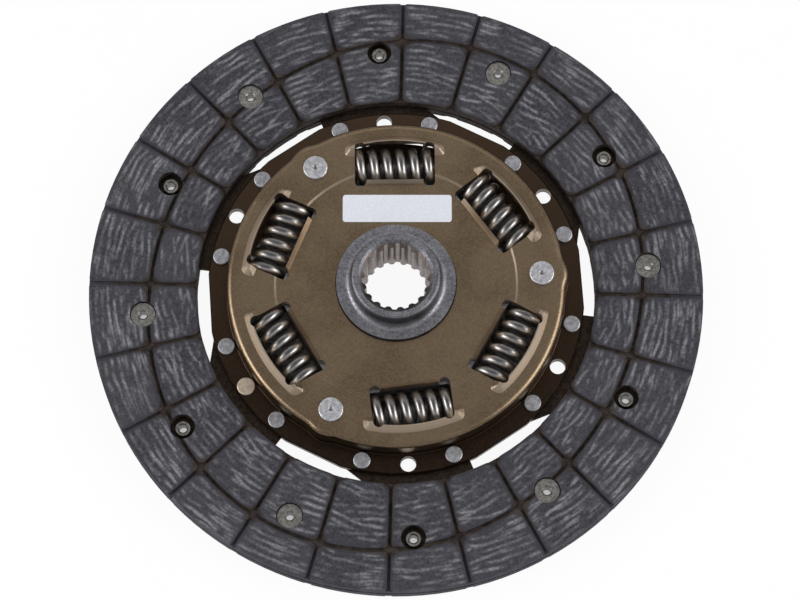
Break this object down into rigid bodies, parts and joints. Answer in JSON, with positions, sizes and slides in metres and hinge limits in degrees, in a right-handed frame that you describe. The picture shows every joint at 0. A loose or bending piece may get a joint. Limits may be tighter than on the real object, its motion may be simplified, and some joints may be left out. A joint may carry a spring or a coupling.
{
  "type": "clutch disc",
  "caption": "Dry clutch friction disc with grooved facings on cushion segments, a torsion damper with coil springs in windows, and a splined hub.",
  "frame": {"origin": "on the disc's axis, inside the splined bore, half-way between the two friction facings", "axes": "+Z along the disc's axis, out of the side on which the hub stands proud; +X through the first stop pin"},
  "size_m": [0.2, 0.2, 0.0237],
  "materials": {
    "friction_facing": "matte",
    "facing_rivet": "satin",
    "segment_steel": "satin",
    "passivated_plate": "satin",
    "zinc_rivet": "matte",
    "balance_brass": "satin",
    "spring_steel": "glossy",
    "hub_steel": "satin",
    "washer_composite": "matte",
    "label_paper": "satin"
  },
  "bodies": {
    "disc": {"facing_front": "friction_facing", "facing_rear": "friction_facing", "facing_rivets_front": "facing_rivet", "facing_rivets_rear": "facing_rivet", "cushion_segment_1": "segment_steel", "cushion_segment_2": "segment_steel", "cushion_segment_3": "segment_steel", "cushion_segment_4": "segment_steel", "cushion_segment_5": "segment_steel", "cushion_segment_6": "segment_steel", "drive_plate": "passivated_plate", "retainer_plate": "passivated_plate", "segment_rivets": "zinc_rivet", "balance_rivet": "balance_brass", "stop_pin_1": "zinc_rivet", "stop_pin_2": "zinc_rivet", "stop_pin_3": "zinc_rivet", "damper_spring_1": "spring_steel", "damper_spring_2": "spring_steel", "damper_spring_3": "spring_steel", "damper_spring_4": "spring_steel", "damper_spring_5": "spring_steel", "damper_spring_6": "spring_steel", "front_friction_washer": "washer_composite", "rear_friction_washer": "washer_composite", "spring_washer": "segment_steel", "label": "label_paper"},
    "hub": {"hub": "hub_steel"}
  },
  "joints": [
    {"name": "damper_twist", "type": "hinge", "parent": "disc", "child": "hub", "pos_m": [0, 0, 0], "axis": [0, 0, 1], "range_deg": [-7, 7], "stiffness_Nm_per_rad": 1150, "deforming": ["damper_spring_1", "damper_spring_2", "damper_spring_3", "damper_spring_4", "damper_spring_5", "damper_spring_6"]}
  ]
}
